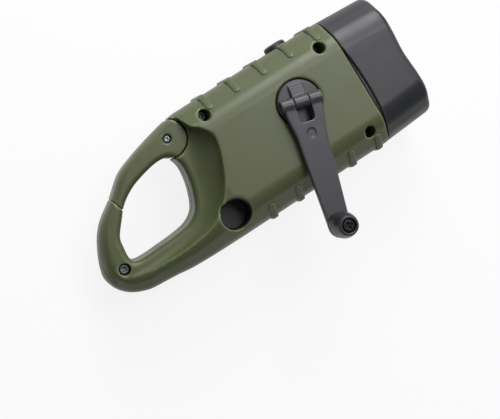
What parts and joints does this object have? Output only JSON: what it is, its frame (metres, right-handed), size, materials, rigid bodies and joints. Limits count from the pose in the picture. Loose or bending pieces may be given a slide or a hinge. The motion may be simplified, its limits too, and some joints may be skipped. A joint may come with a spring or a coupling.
{
  "type": "hand crank flashlight",
  "caption": "Hand crank flashlight: moulded two-shell housing with a carabiner loop and spring gate, folding crank, geared dynamo, solar cell, push button and lens head.",
  "frame": {"origin": "on the flat rest face, on its centre line, 74.6 mm behind the front rim of the lamp head", "axes": "+X along the body to the lens, +Y to the push button, +Z out of the crank face"},
  "size_m": [0.1384, 0.0725, 0.0523],
  "materials": {
    "housing": "satin",
    "head": "satin",
    "gasket": "matte",
    "clear_window": "gloss",
    "reflector": "polished",
    "led": "gloss",
    "circuit_board": "satin",
    "crank_hub": "satin",
    "crank_arm": "satin",
    "knob": "satin",
    "gear_nylon": "satin",
    "steel": "satin",
    "black_steel": "satin",
    "brass": "satin",
    "ferrite": "matte",
    "copper": "satin",
    "battery_wrap": "gloss",
    "solar_cell": "gloss",
    "button_rubber": "matte",
    "switch_plastic": "satin",
    "lead_red": "satin",
    "lead_black": "satin"
  },
  "bodies": {
    "case": {"upper_shell": "housing", "lower_shell": "housing", "case_screw_1": "black_steel", "case_screw_2": "black_steel", "case_screw_3": "black_steel", "case_screw_4": "black_steel", "gate_pin": "steel", "gate_spring": "steel", "bezel": "head", "lens_gasket": "gasket", "lens": "clear_window", "reflector": "reflector", "led_board": "circuit_board", "led_1": "led", "led_2": "led", "led_3": "led", "idler_1_shaft": "steel", "idler_2_shaft": "steel", "gear_plate": "brass", "plate_screw_1": "steel", "plate_screw_2": "steel", "plate_screw_3": "steel", "stator_cup": "steel", "stator_cap": "steel", "stator_coil": "copper", "main_board": "circuit_board", "battery_pack": "battery_wrap", "solar_panel": "solar_cell", "solar_window": "clear_window", "switch_body": "switch_plastic", "lamp_lead_1": "lead_red", "battery_lead_1": "lead_red", "coil_lead_1": "lead_red", "lamp_lead_2": "lead_black", "battery_lead_2": "lead_black", "coil_lead_2": "lead_black"},
    "crank": {"crank_hub": "crank_hub", "crank_gear": "gear_nylon", "hub_screw": "steel", "hinge_pin": "steel"},
    "arm": {"crank_arm": "crank_arm", "knob_pin": "steel"},
    "knob": {"knob": "knob"},
    "idler_1": {"idler_1": "gear_nylon"},
    "idler_2": {"idler_2": "gear_nylon"},
    "rotor": {"rotor_pinion": "brass", "rotor_shaft": "steel", "rotor_magnet": "ferrite"},
    "gate": {"gate": "housing"},
    "button": {"button": "button_rubber", "switch_plunger": "gear_nylon"}
  },
  "joints": [
    {"name": "crank_spin", "type": "hinge", "parent": "case", "child": "crank", "pos_m": [0.0298, 0.00535, 0.036], "axis": [0, 0, 1], "continuous": true},
    {"name": "arm_fold", "type": "hinge", "parent": "crank", "child": "arm", "pos_m": [0.0298, 0.00535, 0.0382], "axis": [-0.9659, 0.2588, 0], "range_deg": [0, 180]},
    {"name": "knob_spin", "type": "hinge", "parent": "arm", "child": "knob", "pos_m": [0.01774, -0.03965, 0.046], "axis": [0, 0, 1], "continuous": true},
    {"name": "idler_1_spin", "type": "hinge", "parent": "case", "child": "idler_1", "pos_m": [0.0129, 0.00082, 0.025], "axis": [0, 0, 1], "continuous": true},
    {"name": "idler_2_spin", "type": "hinge", "parent": "case", "child": "idler_2", "pos_m": [-0.00092, -0.00421, 0.02], "axis": [0, 0, 1], "continuous": true},
    {"name": "rotor_spin", "type": "hinge", "parent": "case", "child": "rotor", "pos_m": [0.01224, -0.009, 0.012], "axis": [0, 0, 1], "continuous": true},
    {"name": "gate_swing", "type": "hinge", "parent": "case", "child": "gate", "pos_m": [-0.0171, 0.0196, 0.018], "axis": [0, 0, 1], "range_deg": [0, 20], "stiffness_Nm_per_rad": 0.12, "springref_deg": -20.05, "deforming": ["gate_spring"]},
    {"name": "button_press", "type": "slide", "parent": "case", "child": "button", "axis": [0, -1, 0], "range_m": [0, 0.0012], "stiffness_N_per_m": 1500, "springref_m": -0.0003}
  ],
  "couplings": [
    {"joint": "idler_1_spin", "follows": "crank_spin", "ratio": -4},
    {"joint": "idler_2_spin", "follows": "crank_spin", "ratio": 12.8},
    {"joint": "rotor_spin", "follows": "crank_spin", "ratio": -38.4}
  ]
}
